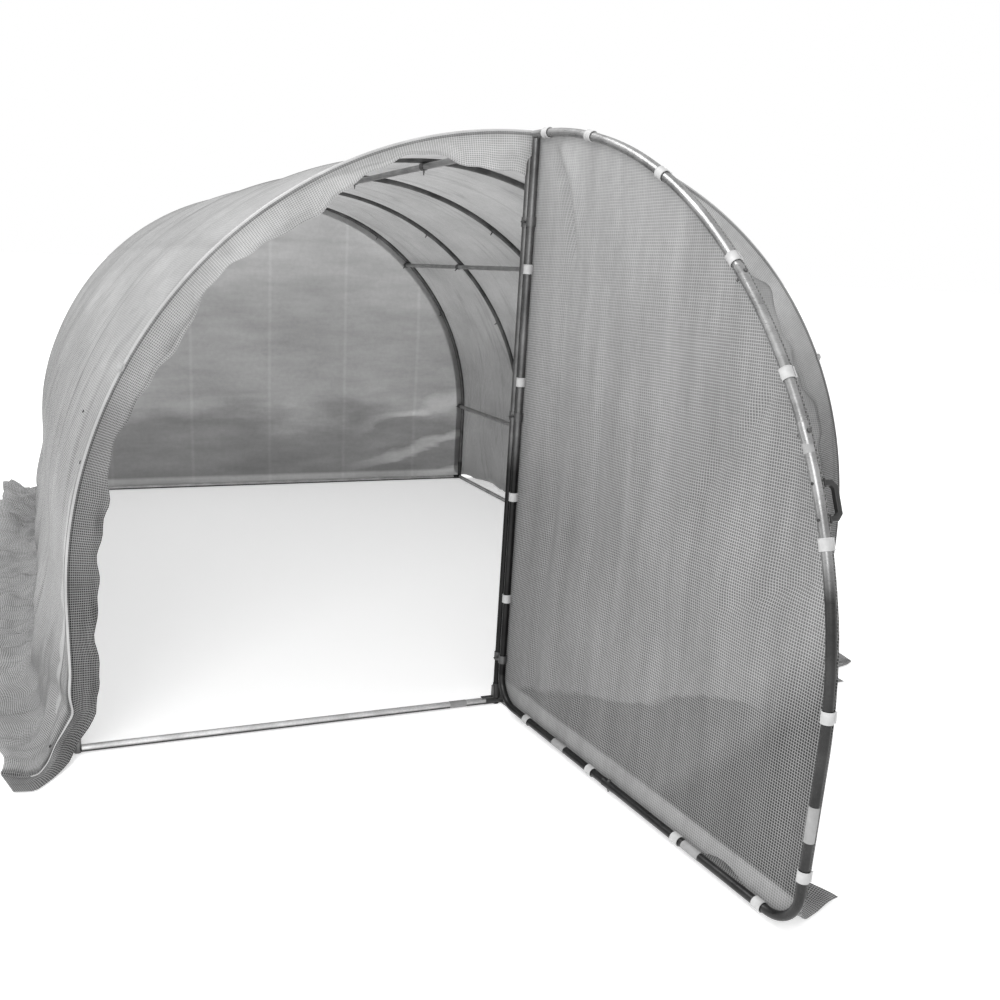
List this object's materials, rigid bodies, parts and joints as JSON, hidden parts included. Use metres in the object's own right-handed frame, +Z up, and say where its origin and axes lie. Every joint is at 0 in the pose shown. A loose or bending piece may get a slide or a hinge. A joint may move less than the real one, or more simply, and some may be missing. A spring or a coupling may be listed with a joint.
{
  "type": "polytunnel greenhouse",
  "caption": "Walk-in tunnel greenhouse: tubular steel hoops under mesh-reinforced film, with a half-moon door leaf hinged on a post in the middle of the front.",
  "frame": {"origin": "under the door post, in the middle of the front, where its flat end stands on the ground", "axes": "+X across the tunnel to the right as seen from in front, +Y along the tunnel from the front to the back, +Z up"},
  "size_m": [3.506, 5.7994, 2.003],
  "materials": {
    "galvanised_tube": "galvanised steel tube, dull grey with a soft spangle",
    "zinc_fitting": "zinc-plated pressed steel, darker than the tubes",
    "cover_film": "translucent polyethylene film with a reinforcing grid of threads",
    "door_film": "translucent polyethylene film with a reinforcing grid of threads",
    "white_clip": "moulded white plastic, satin",
    "black_handle": "moulded black plastic, satin"
  },
  "bodies": {
    "tunnel": {"front_hoop": "galvanised_tube", "second_hoop": "galvanised_tube", "third_hoop": "galvanised_tube", "fourth_hoop": "galvanised_tube", "back_hoop": "galvanised_tube", "ridge_purlin": "galvanised_tube", "upper_left_purlin": "galvanised_tube", "upper_right_purlin": "galvanised_tube", "lower_left_purlin": "galvanised_tube", "lower_right_purlin": "galvanised_tube", "purlin_clamps": "zinc_fitting", "left_base_rail": "galvanised_tube", "right_base_rail": "galvanised_tube", "front_base_rail": "galvanised_tube", "back_base_rail": "galvanised_tube", "door_post": "galvanised_tube", "post_foot_angles": "zinc_fitting", "post_head_angles": "zinc_fitting", "hinge_bands": "zinc_fitting", "left_wall_film": "cover_film", "left_haunch_film": "cover_film", "left_roof_film": "cover_film", "left_crown_film": "cover_film", "right_crown_film": "cover_film", "right_roof_film": "cover_film", "right_haunch_film": "cover_film", "right_wall_film": "cover_film", "left_skirt": "cover_film", "right_skirt": "cover_film", "back_skirt": "cover_film", "front_left_skirt": "cover_film", "front_right_skirt": "cover_film", "left_front_flap": "cover_film", "right_front_flap": "cover_film", "front_panel_film": "cover_film", "back_wall_film": "cover_film"},
    "door": {"door_hinge_tube": "galvanised_tube", "door_arch_tube": "galvanised_tube", "door_bottom_tube": "galvanised_tube", "door_film": "door_film", "door_skirt": "door_film", "door_clips": "white_clip", "door_handle": "black_handle"}
  },
  "joints": [
    {"name": "door_swing", "type": "hinge", "parent": "tunnel", "child": "door", "pos_m": [0, -0.039, 0], "axis": [0, 0, 1], "range_deg": [-94.5, 55.5]}
  ]
}
